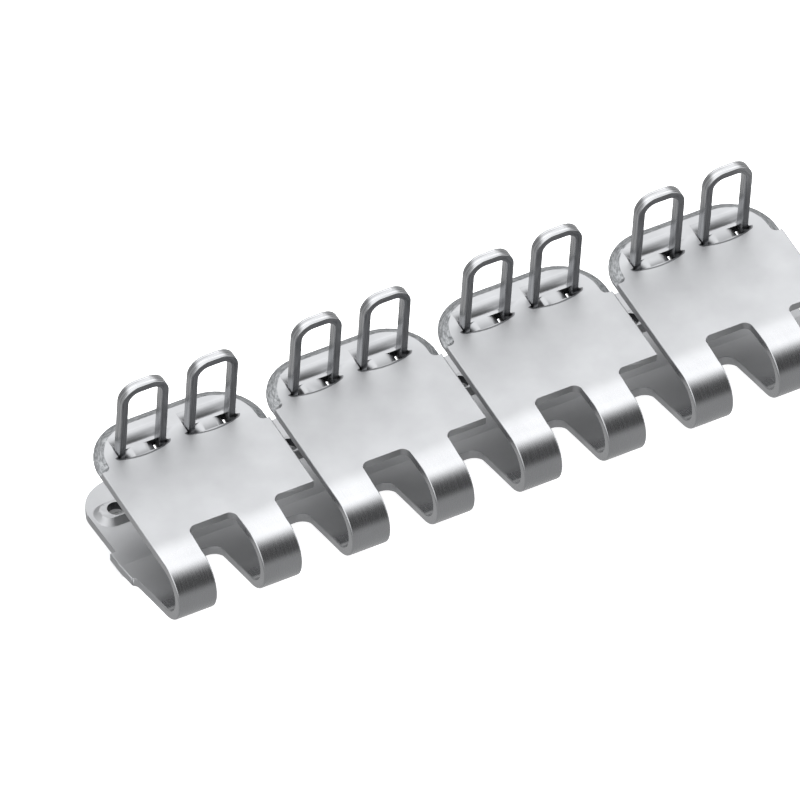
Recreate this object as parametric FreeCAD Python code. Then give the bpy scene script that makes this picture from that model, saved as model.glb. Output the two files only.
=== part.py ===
"""Belt fastener strip: a row of folded plate fasteners with staples standing ready to be driven.

All sizes are in millimetres. X runs along the strip, Y from the hinge loops to the open mouth,
Z up. The origin lies under the middle of the strip, on the surface that the strip rests on.

The strip is one stamped sheet. Each fastener is a top plate and a bottom plate that two hinge
loops join at the front, and narrow webs join the bottom plates of neighbouring fasteners.
The belt's end goes between the plates, and each staple is driven through top plate, belt and
bottom plate. The staples are pieces of their own, and each one slides in its top plate.
"""
import FreeCAD
import Part
import math
import os

from FreeCAD import Placement, Rotation, Vector

# The row of fasteners and the sheet that it is stamped from
FASTENER_COUNT = 4
PITCH = 25.4
PLATE_GAP = 1.1
SHEET = 1.25

# The fold, seen along the strip
LOOP_INNER_RADIUS = 3.2
LOOP_AXIS_HEIGHT = 6.32
TOP_RISE_DEG = 6.8
FRONT_FALL_DEG = 9.3
BOTTOM_BEND_RADIUS = 1.5
TOP_REACH = 25.1
BOTTOM_REACH = 26.75

# The loops and the notches between them, measured from the plate's left edge and the loop axis
LOOP_WIDTH = 5.6
SECOND_LOOP_START = 12.45
TOP_NOTCH_REACH = 4.45
BOTTOM_NOTCH_REACH = 9.2
TOP_NOTCH_RADIUS = 1.1
BOTTOM_NOTCH_RADIUS = 1.7

# The webs that join the bottom plates, the slot behind each, and the plates' back corners
WEB_LENGTH = 5.6
BOTTOM_SLOT_WIDTH = 1.7
TOP_CORNER_RADIUS = 6.9
BOTTOM_CORNER_RADIUS = 5.5

# The bevel that is pressed round each plate's back edge, on its outer face
BEVEL_WIDTH = 1.4
BEVEL_DROP = 0.85
TOP_BEVEL_LEFT_LENGTH = 7.6
TOP_BEVEL_RIGHT_LENGTH = 8.3
BOTTOM_BEVEL_LENGTH = 2.8
BEVEL_END_RADIUS = 0.8

# The staples, bent from rectangular wire
WIRE_THICKNESS = 1.0
WIRE_WIDTH = 1.45
STAPLE_WIDTH = 6.9
STAPLE_HEIGHT = 12.3
STAPLE_CORNER_RADIUS = 2.6
STAPLE_SPACING = 10.16
STAPLE_PAIR_OFFSET = -0.25
STAPLE_INSET = 5.3
TIP_PROJECTION = 0.5
TIP_LENGTH = 1.1
TIP_FLAT = 0.35
LEG_CLEARANCE = 0.06

# The pocket in the top plate that takes the staple's crown, and its bump underneath
POCKET_DEPTH = 0.9
POCKET_END_MARGIN = 0.12
POCKET_BACK = 1.25
POCKET_RAMP = 1.7
POCKET_RAMP_INSET = 0.95
POCKET_BACK_CUT = 0.45
POCKET_SIDE_FRONT = 0.83
POCKET_MIDDLE_FRONT = 1.45
POCKET_CORNER_RADIUS = 0.25
BUMP_WALL = 0.95
BUMP_CORNER = 1.0

# The raised rib across the bottom plate, with the holes that the legs come through
RIB_HEIGHT = 0.8
RIB_DEPTH = 4.6
RIB_SIDE_MARGIN = 0.85
RIB_WALL = 0.95
RIB_CORNER_RADIUS = 2.0
TROUGH_CORNER = 0.5
LEG_HOLE_RADIUS = 1.22

# Derived sizes
LOOP_RADIUS = LOOP_INNER_RADIUS + SHEET
PLATE_WIDTH = PITCH - PLATE_GAP
BOTTOM_SIDE = (BOTTOM_SLOT_WIDTH - PLATE_GAP) / 2
STAPLE_REACH = TOP_REACH - STAPLE_INSET
STRIP_LENGTH = FASTENER_COUNT * PITCH
LOOP_AXIS_Y = (LOOP_RADIUS - BOTTOM_REACH) / 2
LEG_OFFSET = (STAPLE_WIDTH - WIRE_THICKNESS) / 2
PAIR_CENTRE = PLATE_WIDTH / 2 + STAPLE_PAIR_OFFSET
STAPLE_CENTRES = [PAIR_CENTRE - STAPLE_SPACING / 2, PAIR_CENTRE + STAPLE_SPACING / 2]
TIP_DEPTH = SHEET + POCKET_DEPTH + TIP_PROJECTION
OVERSHOOT = 5.0

# The loop axis carries two local frames: the top plate's and that of the bottom plate's front.
# In both, X is along the strip, Y runs to the back along the sheet, and Z is square to it.
X_AXIS = Vector(1, 0, 0)
Z_AXIS = Vector(0, 0, 1)
LOOP_AXIS_POINT = Vector(0, LOOP_AXIS_Y, LOOP_AXIS_HEIGHT)
TOP_FRAME = Placement(LOOP_AXIS_POINT, Rotation(X_AXIS, TOP_RISE_DEG))
FRONT_FRAME = Placement(LOOP_AXIS_POINT, Rotation(X_AXIS, -FRONT_FALL_DEG))


def box(low, high):
    """Return the box between two opposite corners."""
    size = Vector(*high) - Vector(*low)
    return Part.makeBox(size.x, size.y, size.z, Vector(*low))


def upright_edges(solid, corners):
    """Return the solid's edges along Z that stand on the given (x, y) corners."""
    found = []
    for edge in solid.Edges:
        start, end = edge.Vertexes[0].Point, edge.Vertexes[-1].Point
        for x, y in corners:
            here = abs(start.x - x) < 1e-6 and abs(start.y - y) < 1e-6
            upright = abs(end.x - start.x) < 1e-6 and abs(end.y - start.y) < 1e-6
            if here and upright and edge.Length > 1e-6:
                found.append(edge)
    return found


def all_corners(low, high):
    """Return the four (x, y) corners of the box between two opposite corners."""
    return [(x, y) for x in (low[0], high[0]) for y in (low[1], high[1])]


def rounded_box(low, high, radius, corners=None):
    """Return a box with rounded upright edges at the given (x, y) corners, or at all four."""
    block = box(low, high)
    return block.makeFillet(radius, upright_edges(block, corners or all_corners(low, high)))


def chamfered_box(low, high, size):
    """Return a box with its four upright edges chamfered."""
    block = box(low, high)
    return block.makeChamfer(size, upright_edges(block, all_corners(low, high)))


def edges_at_height(solid, height):
    """Return the solid's edges that lie at one height."""
    return [
        edge for edge in solid.Edges
        if abs(edge.BoundBox.ZMin - height) < 1e-6 and abs(edge.BoundBox.ZMax - height) < 1e-6
    ]


def across(angle_deg, distance):
    """Return the point at a distance from the loop axis, square to a sheet at that slope."""
    angle = math.radians(angle_deg)
    return Vector(0, -math.sin(angle) * distance, math.cos(angle) * distance)


def along(angle_deg, distance):
    """Return the step of a distance to the back, along a sheet at that slope."""
    angle = math.radians(angle_deg)
    return Vector(0, math.cos(angle) * distance, math.sin(angle) * distance)


def arc(start, middle, end):
    """Return the circular edge through three points."""
    return Part.Arc(start, middle, end).toShape()


def extruded_section(edges, left, right):
    """Return the solid of a closed section, drawn round the loop axis, between two X values."""
    face = Part.Face(Part.Wire(edges))
    face.translate(LOOP_AXIS_POINT + Vector(left, 0, 0))
    return face.extrude(Vector(right - left, 0, 0))


def top_section():
    """Return the edges of the top plate's section, with the upper half of the loop."""
    outer, inner = across(TOP_RISE_DEG, LOOP_RADIUS), across(TOP_RISE_DEG, LOOP_INNER_RADIUS)
    reach = along(TOP_RISE_DEG, TOP_REACH)
    outer_tip, inner_tip = Vector(0, -LOOP_RADIUS, 0), Vector(0, -LOOP_INNER_RADIUS, 0)
    halfway = across((TOP_RISE_DEG + 90) / 2, 1)
    return [
        Part.makeLine(outer, outer + reach),
        Part.makeLine(outer + reach, inner + reach),
        Part.makeLine(inner + reach, inner),
        arc(inner, halfway * LOOP_INNER_RADIUS, inner_tip),
        Part.makeLine(inner_tip, outer_tip),
        arc(outer_tip, halfway * LOOP_RADIUS, outer),
    ]


def bottom_surface(radius, bend_radius):
    """Return the points of one side of the bottom plate, from the loop to the back.

    radius is the loop's on that side, and bend_radius the bend's.
    """
    fall = math.radians(FRONT_FALL_DEG)
    floor = radius - LOOP_RADIUS + LOOP_AXIS_HEIGHT
    start = across(-FRONT_FALL_DEG, -radius)
    corner = start + along(-FRONT_FALL_DEG, (floor - radius * math.cos(fall)) / math.sin(fall))
    setback = bend_radius * math.tan(fall / 2)
    before = corner - along(-FRONT_FALL_DEG, setback)
    after = corner + Vector(0, setback, 0)
    centre = after + Vector(0, 0, bend_radius)
    middle = centre + across(-FRONT_FALL_DEG / 2, -bend_radius)
    return start, before, middle, after, Vector(0, BOTTOM_REACH, -floor)


def bottom_section():
    """Return the edges of the bottom plate's section, with the lower half of the loop."""
    outer = bottom_surface(LOOP_RADIUS, BOTTOM_BEND_RADIUS + SHEET)
    inner = bottom_surface(LOOP_INNER_RADIUS, BOTTOM_BEND_RADIUS)
    outer_tip, inner_tip = Vector(0, -LOOP_RADIUS, 0), Vector(0, -LOOP_INNER_RADIUS, 0)
    halfway = across((180 - FRONT_FALL_DEG + 90) / 2, 1)
    return [
        arc(outer_tip, halfway * LOOP_RADIUS, outer[0]),
        Part.makeLine(outer[0], outer[1]),
        arc(outer[1], outer[2], outer[3]),
        Part.makeLine(outer[3], outer[4]),
        Part.makeLine(outer[4], inner[4]),
        Part.makeLine(inner[4], inner[3]),
        arc(inner[3], inner[2], inner[1]),
        Part.makeLine(inner[1], inner[0]),
        arc(inner[0], halfway * LOOP_INNER_RADIUS, inner_tip),
        Part.makeLine(inner_tip, outer_tip),
    ]


def notch(left, right, reach, radius, rounded):
    """Return the cutter of one notch between the loops, in a local frame of the loop axis.

    rounded names the notch's back corners that are rounded, as X values.
    """
    depth = LOOP_RADIUS + OVERSHOOT
    corners = [(x, reach) for x in rounded]
    return rounded_box((left, -depth, -depth), (right, reach, depth), radius, corners)


def placed(shape, frame):
    """Return a copy of a shape, moved from a local frame to the strip's own."""
    moved = shape.copy()
    moved.Placement = frame.multiply(moved.Placement)
    return moved


def bevel_cutter(width, reach, corner_radius, left_length, right_length):
    """Return the cutter that presses the bevel round a plate's back edge.

    The plate's outer face lies at Z = 0 and its back edge at Y = reach. The lengths say how far
    the bevel runs forward from there, on each side. One that is shorter than the corner's radius
    ends on the corner.
    """
    kept = rounded_box(
        (0, 0, -SHEET), (width, reach, 0), corner_radius, [(0, reach), (width, reach)],
    )
    rim = [edge for edge in edges_at_height(kept, 0) if edge.BoundBox.YMax > OVERSHOOT]
    kept = kept.makeChamfer(BEVEL_DROP, BEVEL_WIDTH, rim)
    cutter = box(
        (-OVERSHOOT, reach - min(corner_radius, left_length), -SHEET - OVERSHOOT),
        (width + OVERSHOOT, reach + OVERSHOOT, OVERSHOOT),
    )
    for inner, outer, length in (
        (BEVEL_WIDTH, -OVERSHOOT, left_length),
        (width - BEVEL_WIDTH, width + OVERSHOOT, right_length),
    ):
        if length < corner_radius:
            continue
        low = (min(inner, outer), reach - length, -SHEET - OVERSHOOT)
        high = (max(inner, outer), reach, OVERSHOOT)
        cutter = cutter.fuse(rounded_box(low, high, BEVEL_END_RADIUS, [(inner, reach - length)]))
    return cutter.cut(kept)


def ramp_section():
    """Return the face of the ramp's section, from its foot at the pocket's floor to its brow."""
    top = Vector(0, 0, OVERSHOOT)
    radius = (POCKET_RAMP ** 2 + POCKET_DEPTH ** 2) / (2 * POCKET_DEPTH)
    half_turn = math.asin(POCKET_RAMP / radius) / 2
    foot, brow = Vector(0, 0, -POCKET_DEPTH), Vector(0, POCKET_RAMP, 0)
    middle = brow - Vector(0, radius * math.sin(half_turn), radius * (1 - math.cos(half_turn)))
    return Part.Face(Part.Wire([
        arc(foot, middle, brow), Part.makeLine(brow, brow + top),
        Part.makeLine(brow + top, top), Part.makeLine(top, foot),
    ]))


def crown_pocket():
    """Return the cutter of one crown pocket, with the scooped ramp that leads down into it.

    Its staple's centre line lies at X = 0 and Y = 0, and the plate's top face at Z = 0. The
    ramp's two ends flare outwards as they rise, at half a right angle.
    """
    end, top = STAPLE_WIDTH / 2 + POCKET_END_MARGIN, POCKET_DEPTH + OVERSHOOT
    left, right = Vector(-end, -POCKET_SIDE_FRONT, 0), Vector(end, -POCKET_SIDE_FRONT, 0)
    side, cut = Vector(0, POCKET_SIDE_FRONT + POCKET_BACK - POCKET_BACK_CUT, 0), POCKET_BACK_CUT
    seat = Part.Face(Part.Wire([
        Part.makeLine(left, left + side),
        Part.makeLine(left + side, left + side + Vector(cut, cut, 0)),
        Part.makeLine(left + side + Vector(cut, cut, 0), right + side + Vector(-cut, cut, 0)),
        Part.makeLine(right + side + Vector(-cut, cut, 0), right + side),
        Part.makeLine(right + side, right),
        arc(right, Vector(0, -POCKET_MIDDLE_FRONT, 0), left),
    ])).extrude(Vector(0, 0, top)).translated(Vector(0, 0, -POCKET_DEPTH))
    seat = seat.makeFillet(
        POCKET_CORNER_RADIUS, upright_edges(seat, [(corner.x, corner.y) for corner in (left, right)])
    )
    foot = end - POCKET_RAMP_INSET
    brow = foot + top
    ramp = ramp_section().extrude(Vector(2 * brow, 0, 0)).translated(Vector(-brow, POCKET_BACK, 0))
    flare = Part.Face(Part.makePolygon([
        Vector(-foot, POCKET_BACK, -POCKET_DEPTH), Vector(foot, POCKET_BACK, -POCKET_DEPTH),
        Vector(brow, POCKET_BACK, OVERSHOOT), Vector(-brow, POCKET_BACK, OVERSHOOT),
        Vector(-foot, POCKET_BACK, -POCKET_DEPTH),
    ])).extrude(Vector(0, POCKET_RAMP, 0))
    return seat.fuse(ramp.common(flare)).removeSplitter()


def leg_way():
    """Return the cutter for both legs of a staple and its crown's seat, from the floor down.

    Z is 0 at the pocket's floor. The seat's shoulders follow the inside of the crown's corners.
    """
    outside = STAPLE_WIDTH / 2 + LEG_CLEARANCE
    inside = STAPLE_WIDTH / 2 - WIRE_THICKNESS - LEG_CLEARANCE
    half_depth = WIRE_WIDTH / 2 + LEG_CLEARANCE
    shoulder = STAPLE_CORNER_RADIUS - WIRE_THICKNESS - LEG_CLEARANCE
    depth = SHEET + OVERSHOOT
    seat = box((-inside, -half_depth, -depth), (inside, half_depth, 0))
    ridge = [edge for edge in edges_at_height(seat, 0) if abs(edge.CenterOfMass.x) > inside / 2]
    way = box((-outside, -half_depth, -depth), (outside, half_depth, POCKET_DEPTH))
    above = box((-outside, -half_depth, 0), (outside, half_depth, POCKET_DEPTH))
    return way.cut(seat.makeFillet(shoulder, ridge)).fuse(above)


def pocket_bump():
    """Return the bump that stands out under one crown pocket, with its top inside the sheet.

    Z is 0 at the plate's underside.
    """
    end = STAPLE_WIDTH / 2 + POCKET_END_MARGIN + BUMP_WALL
    return chamfered_box(
        (-end, -POCKET_MIDDLE_FRONT - BUMP_WALL, -POCKET_DEPTH),
        (end, POCKET_BACK + BUMP_WALL, SHEET / 2), BUMP_CORNER,
    )


def top_plate():
    """Return one fastener's top plate with the upper half of its loops."""
    blank = placed(extruded_section(top_section(), 0, PLATE_WIDTH), TOP_FRAME.inverse())
    plate = blank.makeFillet(
        TOP_CORNER_RADIUS, upright_edges(blank, [(0, TOP_REACH), (PLATE_WIDTH, TOP_REACH)])
    )
    gap_left, gap_right = LOOP_WIDTH, SECOND_LOOP_START
    outer_left, outer_right = SECOND_LOOP_START + LOOP_WIDTH, PLATE_WIDTH + OVERSHOOT
    for left, right, rounded in (
        (gap_left, gap_right, [gap_left, gap_right]), (outer_left, outer_right, [outer_left]),
    ):
        plate = plate.cut(notch(left, right, TOP_NOTCH_REACH, TOP_NOTCH_RADIUS, rounded))
    bevel = bevel_cutter(
        PLATE_WIDTH, TOP_REACH, TOP_CORNER_RADIUS, TOP_BEVEL_LEFT_LENGTH, TOP_BEVEL_RIGHT_LENGTH
    )
    plate = plate.cut(bevel.translated(Vector(0, 0, LOOP_RADIUS)))
    for centre in STAPLE_CENTRES:
        spot = Vector(centre, STAPLE_REACH, LOOP_RADIUS)
        plate = plate.fuse(pocket_bump().translated(spot - Vector(0, 0, SHEET)))
        plate = plate.cut(crown_pocket().translated(spot))
        plate = plate.cut(leg_way().translated(spot - Vector(0, 0, POCKET_DEPTH)))
    return placed(plate, TOP_FRAME)


def leg_line():
    """Return the Y at which the staples' legs come through the bottom rib."""
    crown = TOP_FRAME.multVec(Vector(0, STAPLE_REACH, LOOP_RADIUS))
    drop = crown.z - (SHEET / 2 + RIB_HEIGHT)
    return crown.y + drop * math.tan(math.radians(TOP_RISE_DEG))


def bottom_plate():
    """Return one fastener's bottom plate with the lower half of its loops and its half webs."""
    back = LOOP_AXIS_Y + BOTTOM_REACH
    plate = extruded_section(bottom_section(), -PLATE_GAP / 2, PLATE_WIDTH + PLATE_GAP / 2)
    outer_left = SECOND_LOOP_START + LOOP_WIDTH
    for start, end in (
        (LOOP_WIDTH, SECOND_LOOP_START), (outer_left, PITCH), (outer_left - PITCH, 0),
    ):
        cutter = notch(start, end, BOTTOM_NOTCH_REACH, BOTTOM_NOTCH_RADIUS, [start, end])
        plate = plate.cut(placed(cutter, FRONT_FRAME))
    web_front = FRONT_FRAME.multVec(Vector(0, BOTTOM_NOTCH_REACH, -LOOP_RADIUS)).y
    slot_front = web_front + WEB_LENGTH
    left_side, right_side = BOTTOM_SIDE, PLATE_WIDTH - BOTTOM_SIDE
    for slot_middle in (left_side - BOTTOM_SLOT_WIDTH / 2, right_side + BOTTOM_SLOT_WIDTH / 2):
        low = (slot_middle - BOTTOM_SLOT_WIDTH / 2, slot_front, -OVERSHOOT)
        high = (slot_middle + BOTTOM_SLOT_WIDTH / 2, back + OVERSHOOT, SHEET + OVERSHOOT)
        plate = plate.cut(box(low, high))
    plate = plate.makeFillet(
        BOTTOM_CORNER_RADIUS, upright_edges(plate, [(left_side, back), (right_side, back)])
    )
    bevel = bevel_cutter(
        right_side - left_side, BOTTOM_REACH, BOTTOM_CORNER_RADIUS, BOTTOM_BEVEL_LENGTH,
        BOTTOM_BEVEL_LENGTH,
    )
    below = bevel.mirror(Vector(), Z_AXIS)
    plate = plate.cut(below.translated(Vector(left_side, LOOP_AXIS_Y, 0)))
    middle = leg_line()
    rib = rounded_box(
        (RIB_SIDE_MARGIN, middle - RIB_DEPTH / 2, SHEET / 2),
        (PLATE_WIDTH - RIB_SIDE_MARGIN, middle + RIB_DEPTH / 2, SHEET + RIB_HEIGHT),
        RIB_CORNER_RADIUS,
    )
    rib = rib.makeChamfer(RIB_HEIGHT, edges_at_height(rib, SHEET + RIB_HEIGHT))
    side, half_depth = RIB_SIDE_MARGIN + RIB_WALL, RIB_DEPTH / 2 - RIB_WALL
    trough = chamfered_box(
        (side, middle - half_depth, -OVERSHOOT),
        (PLATE_WIDTH - side, middle + half_depth, RIB_HEIGHT), TROUGH_CORNER,
    )
    plate = plate.fuse(rib).cut(trough)
    for centre in STAPLE_CENTRES:
        for leg in (centre - LEG_OFFSET, centre + LEG_OFFSET):
            hole = Part.makeCylinder(LEG_HOLE_RADIUS, 2 * OVERSHOOT, Vector(leg, middle, -OVERSHOOT))
            plate = plate.cut(hole)
    return plate


def fastener_left(index):
    """Return the X of the left edge of one fastener's plates."""
    return index * PITCH + PLATE_GAP / 2 - STRIP_LENGTH / 2


def fastener_strip():
    """Return the whole stamped strip as one solid."""
    fastener = top_plate().fuse(bottom_plate())
    row = []
    for index in range(FASTENER_COUNT):
        copy = fastener.copy()
        copy.translate(Vector(fastener_left(index), 0, 0))
        row.append(copy)
    return row[0].fuse(row[1:]).removeSplitter()


def crown_outline(inset, foot):
    """Return the closed outline of an upturned U that lies inside the staple's outer line."""
    half = STAPLE_WIDTH / 2 - inset
    top = LOOP_RADIUS + STAPLE_HEIGHT - inset
    bend = STAPLE_CORNER_RADIUS - inset
    turn = bend * (1 - math.sqrt(0.5))
    return Part.Wire([
        Part.makeLine(Vector(-half, 0, foot), Vector(-half, 0, top - bend)),
        arc(
            Vector(-half, 0, top - bend), Vector(-half + turn, 0, top - turn),
            Vector(-half + bend, 0, top),
        ),
        Part.makeLine(Vector(-half + bend, 0, top), Vector(half - bend, 0, top)),
        arc(
            Vector(half - bend, 0, top), Vector(half - turn, 0, top - turn),
            Vector(half, 0, top - bend),
        ),
        Part.makeLine(Vector(half, 0, top - bend), Vector(half, 0, foot)),
        Part.makeLine(Vector(half, 0, foot), Vector(-half, 0, foot)),
    ])


def tip_cutter(leg, side, foot):
    """Return the wedge that sharpens one side of the leg at X = leg."""
    flat, full = leg + side * TIP_FLAT / 2, leg + side * WIRE_THICKNESS / 2
    outside = leg + side * WIRE_THICKNESS
    slope = TIP_LENGTH / (full - flat)
    corners = [
        (flat, foot), (outside, foot + slope * (outside - flat)), (outside, foot - OVERSHOOT),
        (flat, foot - OVERSHOOT), (flat, foot),
    ]
    outline = Part.makePolygon([Vector(x, -WIRE_WIDTH, z) for x, z in corners])
    return Part.Face(outline).extrude(Vector(0, 2 * WIRE_WIDTH, 0))


def staple():
    """Return one staple in the top plate's frame, centred on X = 0, with its legs down."""
    foot = LOOP_RADIUS - TIP_DEPTH
    width = Vector(0, WIRE_WIDTH, 0)
    outer = Part.Face(crown_outline(0, foot)).extrude(width)
    inner = Part.Face(crown_outline(WIRE_THICKNESS, foot)).extrude(width)
    wire = outer.cut(inner).translated(-width / 2)
    for leg in (-LEG_OFFSET, LEG_OFFSET):
        for side in (-1, 1):
            wire = wire.cut(tip_cutter(leg, side, foot))
    return wire.translated(Vector(0, STAPLE_REACH, 0))


def staples():
    """Return all staples by name."""
    pattern = staple()
    named = {}
    for index in range(FASTENER_COUNT):
        for side, centre in zip(("left", "right"), STAPLE_CENTRES):
            piece = pattern.copy()
            piece.translate(Vector(fastener_left(index) + centre, 0, 0))
            named[f"staple_{index + 1}_{side}"] = placed(piece, TOP_FRAME)
    return named


def main():
    """Build every piece and write one file for each."""
    os.makedirs("parts", exist_ok=True)
    pieces = {"fastener_strip": fastener_strip()}
    pieces.update(staples())
    for name, shape in pieces.items():
        shape.exportStep(f"parts/{name}.step")
        print(f"{name}: {len(shape.Solids)} solid, {shape.Volume:.2f} mm3, valid {shape.isValid()}")


main()
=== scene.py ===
"""Looks of the belt fastener strip: satin stamped stainless plates with drawn wire staples.

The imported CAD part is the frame. Each piece here is a merged copy of its CAD mesh with its edges
rounded, so every place and size stays the CAD's own. All lengths in the classes are in
millimetres, and Blender's are in metres.
"""
from __future__ import annotations

import logging
import math
from dataclasses import dataclass, field
from enum import Enum, IntEnum

import bmesh
import bpy
from mathutils import Matrix, Vector

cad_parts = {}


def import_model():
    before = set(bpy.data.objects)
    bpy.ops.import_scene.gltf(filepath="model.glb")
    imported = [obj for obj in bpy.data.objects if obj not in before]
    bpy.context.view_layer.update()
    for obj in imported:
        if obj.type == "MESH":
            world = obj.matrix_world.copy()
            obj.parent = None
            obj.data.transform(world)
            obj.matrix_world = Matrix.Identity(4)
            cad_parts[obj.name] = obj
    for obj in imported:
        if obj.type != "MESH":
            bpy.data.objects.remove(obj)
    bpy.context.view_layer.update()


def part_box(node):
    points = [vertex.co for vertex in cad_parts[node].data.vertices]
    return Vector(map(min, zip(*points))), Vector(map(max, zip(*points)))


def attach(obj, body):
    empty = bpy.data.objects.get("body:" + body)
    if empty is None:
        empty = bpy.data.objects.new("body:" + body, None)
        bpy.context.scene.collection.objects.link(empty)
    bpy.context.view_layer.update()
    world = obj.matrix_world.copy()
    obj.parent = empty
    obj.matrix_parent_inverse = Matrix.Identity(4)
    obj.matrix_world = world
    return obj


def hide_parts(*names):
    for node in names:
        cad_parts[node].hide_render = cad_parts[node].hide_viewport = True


MM = 0.001
LOG = logging.getLogger("belt_fastener_strip")

# The row: how many fasteners it has, their staples, and how far the top plates rise to the back
FASTENERS = 4
SIDES = ("left", "right")
TOP_RISE_DEG = 6.8

# How near two points or heights have to be to count as one, and faces to count as flat or smooth
MERGE_M = 1e-7
NEAR_MM = 0.01
FLAT_DEG = 0.5
SMOOTH_DEG = 50.0

# The range that holds most of a noise's values
NOISE_BULK = (0.35, 0.65)


class Slot(Enum):
    """The record's material slots."""

    PLATE = "plate_steel"
    WIRE = "staple_wire"


class Finish(IntEnum):
    """The strip's finishes, by the numbers of its materials."""

    SHEET = 0
    TOP_BEVEL = 1
    BOTTOM_BEVEL = 2
    # The walls of the holes, whose dark finish is painted shade
    PIERCED = 3
    POCKET = 4
    # The rounded pocket rims, whose darker finish is painted shade
    RIM = 5


def linear(code: str) -> tuple[float, float, float, float]:
    """Turn an sRGB hex colour into the linear colour that Blender's sockets take.

    Args:
        code: A colour such as "#9C9EA2".

    Returns:
        The linear red, green, blue and an alpha of 1.
    """
    parts = [int(code[i:i + 2], 16) / 255 for i in (1, 3, 5)]
    red, green, blue = (
        part / 12.92 if part <= 0.04045 else ((part + 0.055) / 1.055) ** 2.4 for part in parts
    )
    return red, green, blue, 1.0


def span(reach: tuple[float, float], unit: float = 1.0) -> dict[str, float]:
    """Return the inputs that say between which values a Map Range node works.

    Args:
        reach: The value where it starts and the value where it ends.
        unit: What both are multiplied by.

    Returns:
        The two inputs by name.
    """
    return {"From Min": reach[0] * unit, "From Max": reach[1] * unit}


def add_node(
    tree: bpy.types.NodeTree, kind: str, settings: dict[str, object], inputs: dict[object, object]
) -> bpy.types.Node:
    """Add one shader node with its settings and links.

    Args:
        tree: The node tree that gets the node.
        kind: The node's Blender type, without its "ShaderNode" start.
        settings: The node's own properties and their values.
        inputs: Values for the node's sockets by name or number, where a socket is a link's start.

    Returns:
        The new node.
    """
    node = tree.nodes.new("ShaderNode" + kind)
    for name, value in settings.items():
        setattr(node, name, value)
    for key, value in inputs.items():
        if isinstance(value, bpy.types.NodeSocket):
            tree.links.new(value, node.inputs[key])
        else:
            node.inputs[key].default_value = value
    return node


def blank_tree(owner: bpy.types.Material | bpy.types.World) -> bpy.types.NodeTree:
    """Return the emptied node tree of a material or a world.

    Args:
        owner: The new material or world.

    Returns:
        Its node tree, with no nodes.
    """
    owner.use_nodes = True
    owner.node_tree.nodes.clear()
    return owner.node_tree


@dataclass(frozen=True)
class StampedStainless:
    """Cold rolled stainless sheet, stamped and then tumbled: a soft satin with no direction.

    Tumbling leaves fine random pits that blur reflections evenly, and cloudy patches where the
    stones worked longer. The folding die burnished the loops, so they shine harder, and left
    faint marks along the fold. Pits and marks are drawn coarser than they are, so that they show.
    """

    name: str = "tumbled stainless sheet"
    colour: str = "#A6A7A9"
    cloudy_colour: str = "#A1A2A4"
    roughness: float = 0.50
    cloudy_roughness: float = 0.52
    cloud_mm: float = 6.0
    cloud_detail: float = 3.0
    cloud_contrast: float = 0.55
    burnished_roughness: float = 0.25
    marked_roughness: float = 0.285
    burnished_y_mm: tuple[float, float] = (-10.6, -7.6)
    mark_mm: float = 0.22
    mark_length_mm: float = 5.0
    mark_detail: float = 2.0
    pit_mm: float = 0.30
    pit_detail: float = 2.0
    pit_contrast: float = 0.6
    pit_height_mm: float = 0.008
    pit_strength: float = 0.5

    def make(self) -> bpy.types.Material:
        """Make the finish.

        Returns:
            The material.
        """
        material = bpy.data.materials.new(self.name)
        tree = blank_tree(material)
        place = add_node(tree, "TexCoord", {}, {}).outputs["Object"]
        clouds = add_node(tree, "TexNoise", {}, {
            "Vector": place, "Scale": 1 / (self.cloud_mm * MM), "Detail": self.cloud_detail,
            "Roughness": self.cloud_contrast,
        }).outputs["Fac"]
        patch = add_node(tree, "MapRange", {}, {
            "Value": clouds, **span(NOISE_BULK),
        }).outputs["Result"]
        pits = add_node(tree, "TexNoise", {}, {
            "Vector": place, "Scale": 1 / (self.pit_mm * MM), "Detail": self.pit_detail,
            "Roughness": self.pit_contrast,
        }).outputs["Fac"]
        colour = add_node(tree, "Mix", {"data_type": "RGBA"}, {
            0: patch, 6: linear(self.colour), 7: linear(self.cloudy_colour),
        }).outputs[2]
        tumbled = add_node(tree, "MapRange", {}, {
            "Value": patch, "To Min": self.roughness, "To Max": self.cloudy_roughness,
        }).outputs["Result"]
        along = self.mark_mm / self.mark_length_mm
        drawn_out = add_node(tree, "Mapping", {"vector_type": "POINT"}, {
            "Vector": place, "Scale": (1.0, along, along),
        }).outputs["Vector"]
        marks = add_node(tree, "TexNoise", {}, {
            "Vector": drawn_out, "Scale": 1 / (self.mark_mm * MM), "Detail": self.mark_detail,
        }).outputs["Fac"]
        burnished = add_node(tree, "MapRange", {}, {
            "Value": marks, **span(NOISE_BULK),
            "To Min": self.burnished_roughness, "To Max": self.marked_roughness,
        }).outputs["Result"]
        depth = add_node(tree, "SeparateXYZ", {}, {"Vector": place}).outputs["Y"]
        rough = add_node(tree, "MapRange", {"interpolation_type": "SMOOTHSTEP"}, {
            "Value": depth, **span(self.burnished_y_mm, MM),
            "To Min": burnished, "To Max": tumbled,
        }).outputs["Result"]
        bump = add_node(tree, "Bump", {}, {
            "Strength": self.pit_strength, "Distance": self.pit_height_mm * MM, "Height": pits,
        }).outputs["Normal"]
        shader = add_node(tree, "BsdfPrincipled", {}, {
            "Base Color": colour, "Metallic": 1.0, "Roughness": rough, "Normal": bump,
        })
        add_node(tree, "OutputMaterial", {}, {"Surface": shader.outputs["BSDF"]})
        return material


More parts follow.
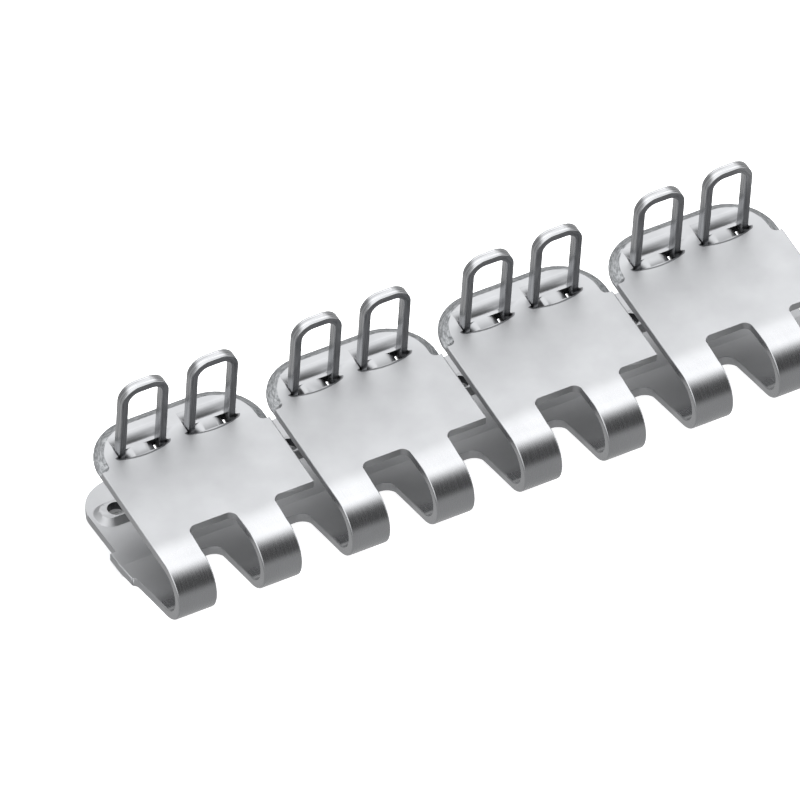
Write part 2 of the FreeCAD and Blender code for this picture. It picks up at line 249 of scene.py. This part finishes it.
@dataclass(frozen=True)
class CoinedBevel:
    """The same sheet where the die pressed the bevel.

    The metal flowed outwards there, which leaves it duller and darker, with fine ridges that
    follow the plate's outline. The ridges are drawn by height, because the bevel falls evenly.
    """

    name: str = "coined stainless bevel"
    colour: str = "#A4A6A8"
    dark_colour: str = "#77797B"
    roughness: float = 0.55
    ridge_mm: float = 0.12
    ridge_length_mm: float = 0.7
    ridge_detail: float = 3.0
    ridge_contrast: float = 0.6
    ridge_bulk: tuple[float, float] = (0.38, 0.62)
    ridge_height_mm: float = 0.009
    ridge_strength: float = 0.8
    tilt_deg: float = -TOP_RISE_DEG

    def make(self) -> bpy.types.Material:
        """Make the finish.

        Returns:
            The material.
        """
        material = bpy.data.materials.new(self.name)
        tree = blank_tree(material)
        place = add_node(tree, "TexCoord", {}, {}).outputs["Object"]
        level = add_node(tree, "Mapping", {"vector_type": "POINT"}, {
            "Vector": place, "Rotation": (math.radians(self.tilt_deg), 0.0, 0.0),
        }).outputs["Vector"]
        along = self.ridge_mm / self.ridge_length_mm
        drawn_out = add_node(tree, "Mapping", {"vector_type": "POINT"}, {
            "Vector": level, "Scale": (along, along, 1),
        }).outputs["Vector"]
        grain = add_node(tree, "TexNoise", {}, {
            "Vector": drawn_out, "Scale": 1 / (self.ridge_mm * MM), "Detail": self.ridge_detail,
            "Roughness": self.ridge_contrast,
        }).outputs["Fac"]
        patch = add_node(tree, "MapRange", {}, {
            "Value": grain, **span(self.ridge_bulk),
        }).outputs["Result"]
        colour = add_node(tree, "Mix", {"data_type": "RGBA"}, {
            0: patch, 6: linear(self.dark_colour), 7: linear(self.colour),
        }).outputs[2]
        bump = add_node(tree, "Bump", {}, {
            "Strength": self.ridge_strength, "Distance": self.ridge_height_mm * MM,
            "Height": grain,
        }).outputs["Normal"]
        shader = add_node(tree, "BsdfPrincipled", {}, {
            "Base Color": colour, "Metallic": 1.0, "Roughness": self.roughness, "Normal": bump,
        })
        add_node(tree, "OutputMaterial", {}, {"Surface": shader.outputs["BSDF"]})
        return material


@dataclass(frozen=True)
class ShadedPiercedWall:
    """The same sheet where a punch broke through: torn and dull, its dark colours painted shade
    inside the holes.
    """

    name: str = "torn stainless, pierced hole, painted shade"
    # The tears mix these two, and both are far darker than the sheet: painted shade inside the
    # holes and the legs' ways
    colour: str = "#55575A"
    dark_colour: str = "#2C2D2F"
    roughness: float = 0.6
    tear_mm: float = 0.2
    tear_detail: float = 2.0
    tear_height_mm: float = 0.03
    tear_strength: float = 0.8

    def make(self) -> bpy.types.Material:
        """Make the finish.

        Returns:
            The material.
        """
        material = bpy.data.materials.new(self.name)
        tree = blank_tree(material)
        place = add_node(tree, "TexCoord", {}, {}).outputs["Object"]
        tears = add_node(tree, "TexNoise", {}, {
            "Vector": place, "Scale": 1 / (self.tear_mm * MM), "Detail": self.tear_detail,
        }).outputs["Fac"]
        colour = add_node(tree, "Mix", {"data_type": "RGBA"}, {
            0: tears, 6: linear(self.dark_colour), 7: linear(self.colour),
        }).outputs[2]
        bump = add_node(tree, "Bump", {}, {
            "Strength": self.tear_strength, "Distance": self.tear_height_mm * MM, "Height": tears,
        }).outputs["Normal"]
        shader = add_node(tree, "BsdfPrincipled", {}, {
            "Base Color": colour, "Metallic": 1.0, "Roughness": self.roughness, "Normal": bump,
        })
        add_node(tree, "OutputMaterial", {}, {"Surface": shader.outputs["BSDF"]})
        return material


@dataclass(frozen=True)
class DrawnWire:
    """Stainless wire, rolled flat and drawn: faint lines along the wire and a harder shine.

    The lines read the attribute that the staples carry, which says how far along the wire and
    how far across it a point is, so they run round the bends as the die left them.
    """

    name: str = "drawn stainless wire"
    attribute: str = "along_the_wire"
    colour: str = "#ACADAF"
    streak_colour: str = "#7E7F81"
    roughness: float = 0.25
    line_mm: float = 0.12
    line_length_mm: float = 6.0
    line_detail: float = 3.0
    line_height_mm: float = 0.004
    line_strength: float = 0.6

    def make(self) -> bpy.types.Material:
        """Make the finish.

        Returns:
            The material.
        """
        material = bpy.data.materials.new(self.name)
        tree = blank_tree(material)
        place = add_node(
            tree, "Attribute", {"attribute_type": "GEOMETRY", "attribute_name": self.attribute}, {}
        ).outputs["Vector"]
        stretched = add_node(tree, "Mapping", {"vector_type": "POINT"}, {
            "Vector": place, "Scale": (1.0, 1.0, self.line_mm / self.line_length_mm),
        }).outputs["Vector"]
        lines = add_node(tree, "TexNoise", {}, {
            "Vector": stretched, "Scale": 1 / (self.line_mm * MM), "Detail": self.line_detail,
        }).outputs["Fac"]
        patch = add_node(tree, "MapRange", {}, {
            "Value": lines, **span(NOISE_BULK),
        }).outputs["Result"]
        colour = add_node(tree, "Mix", {"data_type": "RGBA"}, {
            0: patch, 6: linear(self.streak_colour), 7: linear(self.colour),
        }).outputs[2]
        bump = add_node(tree, "Bump", {}, {
            "Strength": self.line_strength, "Distance": self.line_height_mm * MM, "Height": lines,
        }).outputs["Normal"]
        shader = add_node(tree, "BsdfPrincipled", {}, {
            "Base Color": colour, "Metallic": 1.0, "Roughness": self.roughness, "Normal": bump,
        })
        add_node(tree, "OutputMaterial", {}, {"Surface": shader.outputs["BSDF"]})
        return material


def plate_up() -> Vector:
    """Return the direction square to the top plates."""
    rise = math.radians(TOP_RISE_DEG)
    return Vector((0, -math.sin(rise), math.cos(rise)))


def plate_back() -> Vector:
    """Return the direction along the top plates to their back edge."""
    rise = math.radians(TOP_RISE_DEG)
    return Vector((0, math.cos(rise), math.sin(rise)))


def staple_nodes() -> list[str]:
    """Return the names of the staples' CAD nodes, which are their bodies' names too."""
    return [f"staple_{number}_{side}" for number in range(1, FASTENERS + 1) for side in SIDES]


def merged_copy(node: str) -> bmesh.types.BMesh:
    """Return a CAD node's mesh with its doubles merged and its flat faces joined.

    Args:
        node: The CAD node's name.

    Returns:
        A closed bmesh in the row's frame.
    """
    mesh = bmesh.new()
    mesh.from_mesh(bpy.data.objects[node].data)
    bmesh.ops.remove_doubles(mesh, verts=mesh.verts, dist=MERGE_M)
    bmesh.ops.dissolve_limit(
        mesh, angle_limit=math.radians(FLAT_DEG), verts=mesh.verts, edges=mesh.edges,
        delimit={"NORMAL"},
    )
    return mesh


def lies_at(edge: bmesh.types.BMEdge, level_mm: float) -> bool:
    """Return whether both ends of an edge are at a height."""
    return all(abs(vert.co.z / MM - level_mm) < NEAR_MM for vert in edge.verts)


def reaches(face: bmesh.types.BMFace, low_mm: float, high_mm: float) -> bool:
    """Return whether a face has all its corners at two heights, some at each.

    Args:
        face: A face of the strip.
        low_mm: The lower height.
        high_mm: The upper height.

    Returns:
        True for a face that joins the two heights.
    """
    heights = [vert.co.z / MM for vert in face.verts]
    return all(min(abs(z - low_mm), abs(z - high_mm)) < NEAR_MM for z in heights) and (
        max(heights) - min(heights) > NEAR_MM
    )


def round_edges(
    mesh: bmesh.types.BMesh, edges: list[bmesh.types.BMEdge], width_mm: float, segments: int
) -> list[bmesh.types.BMFace]:
    """Round some of a mesh's edges.

    Args:
        mesh: The mesh to change.
        edges: The edges to round.
        width_mm: How far the rounding reaches along each face.
        segments: How many faces make the rounding.

    Returns:
        The faces of the rounding.
    """
    return bmesh.ops.bevel(
        mesh, geom=edges, offset=width_mm * MM, offset_type="OFFSET", segments=segments,
        profile=0.5, affect="EDGES", clamp_overlap=False, loop_slide=True, material=-1,
    )["faces"]


def as_object(
    name: str, mesh: bmesh.types.BMesh, materials: list[bpy.types.Material]
) -> bpy.types.Object:
    """Turn a bmesh into an object at the origin, with smooth faces between its sharp edges.

    Args:
        name: The new object's name.
        mesh: The finished bmesh, which is freed.
        materials: The materials, in the order of the faces' numbers.

    Returns:
        The linked object.
    """
    data = bpy.data.meshes.new(name)
    mesh.to_mesh(data)
    mesh.free()
    for material in materials:
        data.materials.append(material)
    data.shade_smooth()
    data.set_sharp_from_angle(angle=math.radians(SMOOTH_DEG))
    piece = bpy.data.objects.new(name, data)
    bpy.context.scene.collection.objects.link(piece)
    flat = piece.modifiers.new("flat_faces_stay_flat", "WEIGHTED_NORMAL")
    flat.keep_sharp = True
    return piece


@dataclass
class FastenerStrip:
    """The stamped, folded strip with its pressed bevels, pockets and ribs.

    Heights are above the surface that the strip rests on, and depths are below the top plates'
    upper face. A slant is the part of a face's direction along the axis that it is named for.
    """

    node: str = "fastener_strip"
    body: str = "strip"
    name: str = "stamped_fastener_strip"
    sheet_mm: float = 1.25

    # The edges that tumbling breaks
    edge_break_mm: float = 0.06
    edge_break_segments: int = 2
    least_angle_deg: float = 25.0
    least_edge_mm: float = 0.15

    # The upright sides' long edges, which the die rolls over
    side_round_mm: float = 0.2
    side_round_segments: int = 4
    side_slant: float = 0.999
    side_edge_deg: float = 80.0
    beside_slant: float = 0.1

    # The bottom plates' ribs: their foot and their top
    rib_levels_mm: tuple[float, float] = (1.25, 2.05)
    rib_rounds_mm: tuple[float, float] = (0.42, 0.17)
    rib_round_segments: int = 3
    rib_slant: tuple[float, float] = (0.6, 0.8)

    # The crown pockets, measured from the middle of each staple's legs
    pocket_end_mm: float = 0.4
    pocket_reach_mm: tuple[float, float] = (-1.6, 3.1)
    pocket_depth_mm: float = 2.3
    pocket_round_mm: float = 0.5
    pocket_round_segments: int = 4
    pocket_sunk_mm: float = 0.02
    pocket_floor_slant: float = -0.01
    level_slant: float = 0.99
    wall_slant: float = 0.05
    wall_back_slant: float = 0.02

    # The holes in the ribs, and those in the pockets that the legs go through
    pierced_mm: tuple[float, float] = (0.8, 2.05)
    pierced_slant: float = 0.1
    leg_way_depth_mm: tuple[float, float] = (0.92, 2.1)
    leg_way_half_mm: float = 0.85
    leg_way_side_mm: float = 0.2
    leg_way_slant: float = 0.35

    # The bevels round the back edges
    bevel_slope_deg: float = 31.3
    slope_margin_deg: float = 3.0
    bevel_slant: float = -0.2

    # The finishes
    sheet_finish: StampedStainless = field(default_factory=StampedStainless)
    top_bevel_finish: CoinedBevel = field(default_factory=CoinedBevel)
    bottom_bevel_finish: CoinedBevel = field(
        default_factory=lambda: CoinedBevel(name="coined stainless bevel, lower", tilt_deg=0.0)
    )
    # The hole walls' finish, whose dark colours are painted shade inside the holes
    shaded_pierced_finish: ShadedPiercedWall = field(default_factory=ShadedPiercedWall)
    pressed_finish: StampedStainless = field(default_factory=lambda: StampedStainless(
        name="burnished stainless, pressed pocket", colour="#97989A", cloudy_colour="#929395",
        roughness=0.36, cloudy_roughness=0.38,
    ))
    # A darker copy of the sheet for the rounded pocket rims: painted shade for the dark line along
    # each pocket's front edge
    shaded_rim_finish: StampedStainless = field(default_factory=lambda: StampedStainless(
        name="stainless pocket rim, painted shade", colour="#7A7B7D", cloudy_colour="#6C6D6F",
    ))

    # The middle and half the width of each staple's box, filled in from the frame
    legs: list[tuple[Vector, float]] = field(default_factory=list)

    def in_leg_way(self, face: bmesh.types.BMFace, top: float) -> bool:
        """Return whether a face is a wall of the holes that the staples' legs go through.

        Args:
            face: A face of the strip.
            top: The height of the top plates' upper face, square to them.

        Returns:
            True for such a wall.
        """
        centre, up, back = face.calc_center_median(), plate_up(), plate_back()
        shallow, deep = self.leg_way_depth_mm
        if not shallow < (top - centre.dot(up)) / MM < deep:
            return False
        if abs(face.normal.dot(up)) > self.leg_way_slant:
            return False
        return any(
            abs(centre.x - middle.x) < half_width + self.leg_way_side_mm * MM
            and abs((centre - middle).dot(back)) < self.leg_way_half_mm * MM
            for middle, half_width in self.legs
        )

    def in_pocket(self, point: Vector, top: float) -> bool:
        """Return whether a point is in a crown pocket, or in the holes below it.

        Args:
            point: A point of the strip.
            top: The height of the top plates' upper face, square to them.

        Returns:
            True for such a point.
        """
        if (top - point.dot(plate_up())) / MM > self.pocket_depth_mm:
            return False
        front, back = (reach * MM for reach in self.pocket_reach_mm)
        return any(
            abs(point.x - middle.x) < half_width + self.pocket_end_mm * MM
            and front < (point - middle).dot(plate_back()) < back
            for middle, half_width in self.legs
        )

    def finish_of(self, face: bmesh.types.BMFace, top: float) -> Finish:
        """Return the finish that a face gets before any edge is rounded.

        Args:
            face: A face of the strip.
            top: The height of the top plates' upper face, square to them.

        Returns:
            The finish.
        """
        normal, up = face.normal, plate_up()
        # The walls of the holes and of the legs' ways get the dark pierced finish, which is
        # painted shade inside them
        if abs(normal.z) < self.pierced_slant and reaches(face, *self.pierced_mm):
            return Finish.PIERCED
        if self.in_leg_way(face, top):
            return Finish.PIERCED
        bevels = ((Finish.TOP_BEVEL, up), (Finish.BOTTOM_BEVEL, Vector((0, 0, -1))))
        for bevel, plate in bevels:
            off_slope = abs(math.degrees(normal.angle(plate)) - self.bevel_slope_deg)
            if off_slope < self.slope_margin_deg and normal.y > self.bevel_slant:
                return bevel
        centre = face.calc_center_median()
        sunk = top - centre.dot(up) > self.pocket_sunk_mm * MM
        if sunk and normal.dot(up) > self.pocket_floor_slant and self.in_pocket(centre, top):
            return Finish.POCKET
        return Finish.SHEET

    def rib_rims(self, mesh: bmesh.types.BMesh, level_mm: float) -> list[bmesh.types.BMEdge]:
        """Return the edges on the flanks of the bottom plates' ribs at one height.

        Args:
            mesh: The strip.
            level_mm: The foot's height or the top's.

        Returns:
            The edges.
        """
        least, most = self.rib_slant
        flanks = [
            face for face in mesh.faces
            if least < face.normal.z < most and reaches(face, *self.rib_levels_mm)
        ]
        return list(dict.fromkeys(
            edge for face in flanks for edge in face.edges if lies_at(edge, level_mm)
        ))

    def side_rims(self, mesh: bmesh.types.BMesh) -> list[bmesh.types.BMEdge]:
        """Return the long edges of the sheet's upright sides, which the die rolls over.

        Args:
            mesh: The strip.

        Returns:
            The edges between a large upright side and a face that is large enough to take them.
        """
        sides = [
            face for face in mesh.faces
            if abs(face.normal.x) > self.side_slant
            and face.calc_area() > (2 * self.sheet_mm * MM) ** 2
        ]
        return list(dict.fromkeys(
            edge for face in sides for edge in face.edges
            if len(edge.link_faces) == 2
            and edge.calc_face_angle() > math.radians(self.side_edge_deg)
            and any(abs(other.normal.x) < self.beside_slant for other in edge.link_faces)
            and min(other.calc_area() for other in edge.link_faces) > (self.sheet_mm * MM) ** 2
        ))

    def sharp_edges(self, mesh: bmesh.types.BMesh, top: float) -> list[bmesh.types.BMEdge]:
        """Return the edges that tumbling breaks.

        Edges too short to take it are left, and so are those in the pockets and round the
        recesses under the ribs, where the stones don't reach.

        Args:
            mesh: The strip.
            top: The height of the top plates' upper face, square to them.

        Returns:
            The edges.
        """
        tiny = {
            vert for edge in mesh.edges if edge.calc_length() < self.least_edge_mm * MM
            for vert in edge.verts
        }
        return [
            edge for edge in mesh.edges
            if edge.calc_face_angle() > math.radians(self.least_angle_deg)
            and not tiny.intersection(edge.verts)
            and not all(self.in_pocket(vert.co, top) for vert in edge.verts)
            and not lies_at(edge, self.pierced_mm[0])
        ]

    def pocket_rims(self, mesh: bmesh.types.BMesh, top: float) -> list[bmesh.types.BMEdge]:
        """Return the front rims of the crown pockets, which the punch drew down with it.

        Args:
            mesh: The strip.
            top: The height of the top plates' upper face, square to them.

        Returns:
            The edges, round both front corners too.
        """
        up, back = plate_up(), plate_back()
        return [
            edge for edge in mesh.edges
            if all(top - vert.co.dot(up) < NEAR_MM * MM for vert in edge.verts)
            and all(self.in_pocket(vert.co, top) for vert in edge.verts)
            and any(face.normal.dot(up) > self.level_slant for face in edge.link_faces)
            and any(
                abs(face.normal.dot(up)) < self.wall_slant
                and face.normal.dot(back) > self.wall_back_slant
                for face in edge.link_faces
            )
        ]

    def build(self) -> bpy.types.Object:
        """Build the strip, in place of its CAD node.

        Returns:
            The finished strip.
        """
        mesh = merged_copy(self.node)
        top = max(vert.co.dot(plate_up()) for vert in mesh.verts)
        for staple in staple_nodes():
            low, high = (Vector(corner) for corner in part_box(staple))
            self.legs.append(((low + high) / 2, (high - low).x / 2))
        for face in mesh.faces:
            face.material_index = int(self.finish_of(face, top))
        for level_mm, width_mm in reversed(list(zip(self.rib_levels_mm, self.rib_rounds_mm))):
            round_edges(mesh, self.rib_rims(mesh, level_mm), width_mm, self.rib_round_segments)
        round_edges(mesh, self.side_rims(mesh), self.side_round_mm, self.side_round_segments)
        round_edges(
            mesh, self.sharp_edges(mesh, top), self.edge_break_mm, self.edge_break_segments
        )
        rims = round_edges(
            mesh, self.pocket_rims(mesh, top), self.pocket_round_mm, self.pocket_round_segments
        )
        # The rims' faces take the darker finish, painted shade along the pockets' front edges
        for face in rims:
            face.material_index = int(Finish.RIM)
        finishes = {
            Finish.SHEET: self.sheet_finish, Finish.TOP_BEVEL: self.top_bevel_finish,
            Finish.BOTTOM_BEVEL: self.bottom_bevel_finish, Finish.PIERCED: self.shaded_pierced_finish,
            Finish.POCKET: self.pressed_finish, Finish.RIM: self.shaded_rim_finish,
        }
        piece = as_object(self.name, mesh, [finishes[number].make() for number in Finish])
        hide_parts(self.node)
        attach(piece, self.body)
        LOG.info("strip: %s", piece.name)
        return piece


@dataclass
class Staples:
    """The staples that stand in the top plates, bent from flat wire."""

    bend_mm: float = 2.6
    wire_mm: float = 1.0
    tip_mm: float = 1.1
    edge_radius_mm: float = 0.11
    edge_segments: int = 3
    least_angle_deg: float = 60.0
    finish: DrawnWire = field(default_factory=DrawnWire)

    def draw_lines(self, piece: bpy.types.Object, attribute: str) -> None:
        """Store at each point how far across and how far along the wire it is.

        Args:
            piece: The staple, whose attribute gets across, through and along the wire.
            attribute: The attribute's name.
        """
        up, through = plate_up(), plate_back()
        points = [vert.co for vert in piece.data.vertices]
        left, right = min(point.x for point in points), max(point.x for point in points)
        middle, half = (left + right) / 2, (right - left) / 2
        bend, neutral = self.bend_mm * MM, (self.bend_mm - self.wire_mm / 2) * MM
        start = max(point.dot(up) for point in points) - bend
        stored = piece.data.attributes.new(attribute, "FLOAT_VECTOR", "POINT")
        for spot, point in zip(stored.data, points):
            out, above = abs(point.x - middle) - (half - bend), point.dot(up) - start
            if out <= 0:
                across, along = above, 0.0
            elif above <= 0:
                across, along = out, neutral * math.pi / 2 - above
            else:
                across, along = math.hypot(out, above), neutral * math.atan2(out, above)
            from_middle = min(abs(point.x - middle), half - bend) + along
            spot.vector = (
                across, point.dot(through), math.copysign(from_middle, point.x - middle)
            )

    def build_one(self, node: str, material: bpy.types.Material) -> bpy.types.Object:
        """Build one staple with its wire's long edges rounded, down to its tips.

        Args:
            node: The CAD node that the staple stands for, which is its body's name too.
            material: The wire's material.

        Returns:
            The finished staple.
        """
        mesh = merged_copy(node)
        up = plate_up()
        foot = min(vert.co.dot(up) for vert in mesh.verts) + self.tip_mm * MM
        lengthwise = [
            edge for edge in mesh.edges
            if edge.calc_face_angle() > math.radians(self.least_angle_deg)
            and min(vert.co.dot(up) for vert in edge.verts) > foot - NEAR_MM * MM
            and max(vert.co.dot(up) for vert in edge.verts) > foot + NEAR_MM * MM
        ]
        round_edges(mesh, lengthwise, self.edge_radius_mm, self.edge_segments)
        piece = as_object(node.replace("staple", "wire_staple"), mesh, [material])
        self.draw_lines(piece, self.finish.attribute)
        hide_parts(node)
        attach(piece, node)
        LOG.info("staple: %s", piece.name)
        return piece

    def build(self) -> list[bpy.types.Object]:
        """Build all staples, in place of their CAD nodes.

        Returns:
            The finished staples, which share one material.
        """
        material = self.finish.make()
        return [self.build_one(node, material) for node in staple_nodes()]


@dataclass
class Studio:
    """The pale floor, the soft dome of light and the camera.

    The dome's ranges are parts of the direction from the object, between -1 and 1: x to the
    right, y to the back and z up. Over each range one brightness turns into the next.
    """

    # The floor, which glows a little but for a band under the strip
    floor_colour: str = "#ECEDEE"
    floor_roughness: float = 0.9
    floor_half_m: float = 3.0
    floor_drop_mm: float = 0.02
    floor_glow: float = 0.8
    shade_mm: tuple[float, float] = (-1.0, 12.0)
    shade_edge_mm: float = 0.5

    # The dome's brightness
    zenith: float = 2.75
    back: float = 2.75
    side: float = 1.5
    front: float = 0.105
    low_front: float = 0.56
    low_back: float = 0.64
    dark_back: float = 0.6

    # Where one brightness turns into the next
    overhead_z: tuple[float, float] = (0.78, 0.97)
    behind_y: tuple[float, float] = (-0.68, 0.12)
    card_left_x: tuple[float, float] = (-0.22, 0.10)
    card_right_x: tuple[float, float] = (0.60, 0.85)
    low_y: tuple[float, float] = (-0.7, 0.7)
    above_z: tuple[float, float] = (-0.15, 0.25)
    wall_middle_z: float = 0.04
    wall_off_z: tuple[float, float] = (0.36, 0.75)
    wall_y: tuple[float, float] = (0.0, 0.4)

    # The camera, fitted to the photograph's edges
    azimuth_deg: float = 27.88
    elevation_deg: float = 42.26
    roll_deg: float = -0.60
    centre_mm: tuple[float, float] = (8.42, -6.10)
    focal_pixels: float = 20000.0
    pixels_per_mm: float = 7.654
    frame_pixels: float = 800.0
    sensor_mm: float = 36.0
    clip_m: tuple[float, float] = (0.05, 50.0)

    def build_floor(self) -> bpy.types.Object:
        """Build the floor, just under the strip, with a glow that leaves out its shaded middle.

        Returns:
            The floor, which is stage.
        """
        mesh = bmesh.new()
        bmesh.ops.create_grid(mesh, x_segments=1, y_segments=1, size=self.floor_half_m)
        bmesh.ops.translate(mesh, verts=mesh.verts, vec=(0, 0, -self.floor_drop_mm * MM))
        material = bpy.data.materials.new("pale paper floor")
        tree = blank_tree(material)
        place = add_node(tree, "TexCoord", {}, {}).outputs["Object"]
        depth = add_node(tree, "SeparateXYZ", {}, {"Vector": place}).outputs["Y"]
        near, far = self.shade_mm
        off_middle = add_node(tree, "Math", {"operation": "ABSOLUTE"}, {
            0: add_node(tree, "Math", {"operation": "SUBTRACT"}, {
                0: depth, 1: (near + far) / 2 * MM,
            }).outputs[0],
        }).outputs[0]
        half = (far - near) / 2
        edge = (half - self.shade_edge_mm, half + self.shade_edge_mm)
        glow = add_node(tree, "MapRange", {}, {
            "Value": off_middle, **span(edge, MM), "To Max": self.floor_glow,
        }).outputs["Result"]
        shader = add_node(tree, "BsdfPrincipled", {}, {
            "Base Color": linear(self.floor_colour), "Roughness": self.floor_roughness,
            "Emission Color": (1.0, 1.0, 1.0, 1.0), "Emission Strength": glow,
        })
        add_node(tree, "OutputMaterial", {}, {"Surface": shader.outputs["BSDF"]})
        floor = as_object("floor", mesh, [material])
        floor.visible_glossy = False
        return floor

    def light(self) -> None:
        """Fill the world with a soft dome, with a dark card above the front and a dim back wall.

        The loops carry the card's reflection as their dark band, and the wall's keeps the
        insides of the plates dark.
        """
        world = bpy.data.worlds.new("soft dome")
        bpy.context.scene.world = world
        tree = blank_tree(world)
        smooth, mixed = {"interpolation_type": "SMOOTHSTEP"}, {"data_type": "FLOAT"}
        direction = add_node(tree, "TexCoord", {}, {}).outputs["Generated"]
        parts = add_node(tree, "SeparateXYZ", {}, {"Vector": direction})
        across, depth, height = parts.outputs["X"], parts.outputs["Y"], parts.outputs["Z"]
        overhead = add_node(tree, "MapRange", smooth, {
            "Value": height, **span(self.overhead_z), "To Min": self.back, "To Max": self.zenith,
        }).outputs["Result"]
        behind = add_node(tree, "MapRange", smooth, {
            "Value": depth, **span(self.behind_y),
        }).outputs["Result"]
        dome = add_node(tree, "Mix", mixed, {0: behind, 2: self.side, 3: overhead}).outputs[0]
        card_left = add_node(tree, "MapRange", smooth, {
            "Value": across, **span(self.card_left_x),
        }).outputs["Result"]
        card_right = add_node(tree, "MapRange", smooth, {
            "Value": across, **span(self.card_right_x), "To Min": 1.0, "To Max": 0.0,
        }).outputs["Result"]
        card_width = add_node(tree, "Math", {"operation": "MULTIPLY"}, {
            0: card_left, 1: card_right,
        }).outputs[0]
        card_back = add_node(tree, "Math", {"operation": "SUBTRACT"}, {
            0: 1.0, 1: behind,
        }).outputs[0]
        card = add_node(tree, "Math", {"operation": "MULTIPLY"}, {
            0: card_width, 1: card_back,
        }).outputs[0]
        upper = add_node(tree, "Mix", mixed, {0: card, 2: dome, 3: self.front}).outputs[0]
        lower = add_node(tree, "MapRange", smooth, {
            "Value": depth, **span(self.low_y), "To Min": self.low_front, "To Max": self.low_back,
        }).outputs["Result"]
        above = add_node(tree, "MapRange", smooth, {
            "Value": height, **span(self.above_z),
        }).outputs["Result"]
        open_dome = add_node(tree, "Mix", mixed, {0: above, 2: lower, 3: upper}).outputs[0]
        off_horizon = add_node(tree, "Math", {"operation": "ABSOLUTE"}, {
            0: add_node(tree, "Math", {"operation": "SUBTRACT"}, {
                0: height, 1: self.wall_middle_z,
            }).outputs[0],
        }).outputs[0]
        near_horizon = add_node(tree, "MapRange", smooth, {
            "Value": off_horizon, **span(self.wall_off_z), "To Min": 1.0, "To Max": 0.0,
        }).outputs["Result"]
        to_the_back = add_node(tree, "MapRange", smooth, {
            "Value": depth, **span(self.wall_y),
        }).outputs["Result"]
        wall = add_node(tree, "Math", {"operation": "MULTIPLY"}, {
            0: near_horizon, 1: to_the_back,
        }).outputs[0]
        strength = add_node(tree, "Mix", mixed, {
            0: wall, 2: open_dome, 3: self.dark_back,
        }).outputs[0]
        glow = add_node(tree, "Background", {}, {
            "Color": (1.0, 1.0, 1.0, 1.0), "Strength": strength,
        })
        add_node(tree, "OutputWorld", {}, {"Surface": glow.outputs["Background"]})

    def place_camera(self) -> bpy.types.Object:
        """Place the scene's camera, at the photograph's angle and framing.

        Returns:
            The camera.
        """
        azimuth, elevation, roll = (
            math.radians(value) for value in (self.azimuth_deg, self.elevation_deg, self.roll_deg)
        )
        back = Vector((
            -math.sin(azimuth) * math.cos(elevation), -math.cos(azimuth) * math.cos(elevation),
            math.sin(elevation),
        ))
        right = Vector((0, 0, 1)).cross(back).normalized()
        up = back.cross(right)
        turned_right = right * math.cos(roll) + up * math.sin(roll)
        turned_up = up * math.cos(roll) - right * math.sin(roll)
        distance = self.focal_pixels / self.pixels_per_mm
        spot = (
            back * distance - turned_right * self.centre_mm[0] - turned_up * self.centre_mm[1]
        ) * MM
        camera_data = bpy.data.cameras.new("photo_camera")
        camera_data.sensor_width = self.sensor_mm
        camera_data.lens = self.focal_pixels / self.frame_pixels * self.sensor_mm
        camera_data.clip_start, camera_data.clip_end = self.clip_m
        camera = bpy.data.objects.new("photo_camera", camera_data)
        camera.matrix_world = Matrix((
            (turned_right.x, turned_up.x, back.x, spot.x),
            (turned_right.y, turned_up.y, back.y, spot.y),
            (turned_right.z, turned_up.z, back.z, spot.z),
            (0, 0, 0, 1),
        ))
        bpy.context.scene.collection.objects.link(camera)
        bpy.context.scene.camera = camera
        return camera


def main() -> None:
    """Load the frame and build the pieces, the floor, the light and the camera."""
    logging.basicConfig(level=logging.INFO, format="%(message)s")
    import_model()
    FastenerStrip().build()
    Staples().build()
    studio = Studio()
    studio.build_floor()
    studio.light()
    studio.place_camera()
    bpy.context.scene.view_settings.view_transform = "Standard"


if __name__ == "__main__":
    main()
